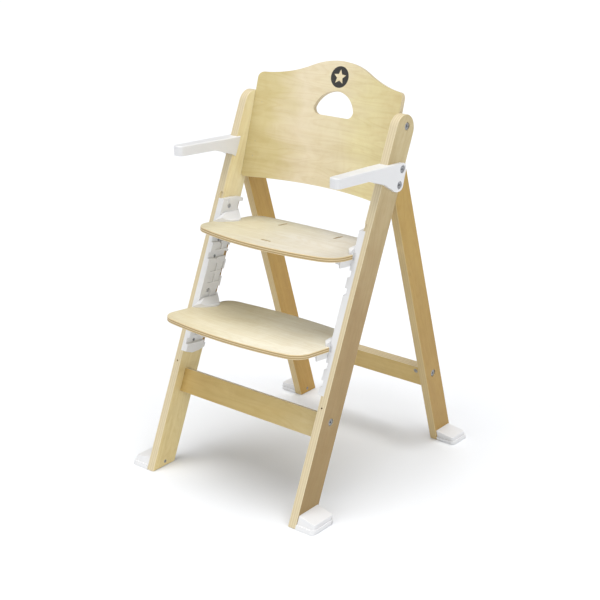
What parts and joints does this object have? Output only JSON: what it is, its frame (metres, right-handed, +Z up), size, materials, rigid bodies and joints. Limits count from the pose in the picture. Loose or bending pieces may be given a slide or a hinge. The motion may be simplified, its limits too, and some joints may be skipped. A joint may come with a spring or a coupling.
{
  "type": "baby high chair",
  "caption": "Wooden A-frame high chair with a curved backrest, armrests, and a seat and footrest that slide out of slotted side rails.",
  "frame": {"origin": "on the floor at the centre of the chair's outline", "axes": "+Z up, -Y towards the front of the chair, +X towards its right side as seen from the front"},
  "size_m": [0.487, 0.5543, 0.8246],
  "materials": {
    "birch_ply_frame": "clear matt lacquer",
    "birch_ply_panel": "clear satin lacquer",
    "beech_dowel": "bare",
    "white_plastic": "fine satin moulded",
    "badge_print": "matt",
    "zinc_hardware": "zinc plated"
  },
  "bodies": {
    "frame": {"front_leg_right": "birch_ply_frame", "front_leg_left": "birch_ply_frame", "rear_leg_right": "birch_ply_frame", "rear_leg_left": "birch_ply_frame", "front_stretcher": "birch_ply_frame", "rear_stretcher": "birch_ply_frame", "front_stretcher_bolts": "zinc_hardware", "front_stretcher_barrel_nuts": "zinc_hardware", "rear_stretcher_bolts": "zinc_hardware", "rear_stretcher_barrel_nuts": "zinc_hardware", "stretcher_dowels": "beech_dowel", "leg_joint_bolts": "zinc_hardware", "leg_joint_barrel_nuts": "zinc_hardware", "leg_joint_dowels": "beech_dowel", "front_foot_right": "white_plastic", "front_foot_left": "white_plastic", "rear_foot_right": "white_plastic", "rear_foot_left": "white_plastic", "foot_screws": "zinc_hardware", "rail_right": "white_plastic", "rail_left": "white_plastic", "rail_screws_right": "zinc_hardware", "rail_screws_left": "zinc_hardware", "backrest": "birch_ply_panel", "backrest_badge": "badge_print", "backrest_top_bolts": "zinc_hardware", "armrest_right": "white_plastic", "armrest_left": "white_plastic", "armrest_bolts": "zinc_hardware"},
    "seat": {"seat_plate": "birch_ply_panel", "seat_bracket_right": "white_plastic", "seat_bracket_left": "white_plastic", "seat_bracket_screws": "zinc_hardware"},
    "footrest": {"footrest_plate": "birch_ply_panel", "footrest_bracket_right": "white_plastic", "footrest_bracket_left": "white_plastic", "footrest_bracket_screws": "zinc_hardware"}
  },
  "joints": [
    {"name": "seat_slide", "type": "slide", "parent": "frame", "child": "seat", "axis": [0, -0.9945, 0.1045], "range_m": [0, 0.04]},
    {"name": "footrest_slide", "type": "slide", "parent": "frame", "child": "footrest", "axis": [0, -0.9945, 0.1045], "range_m": [0, 0.04]}
  ]
}
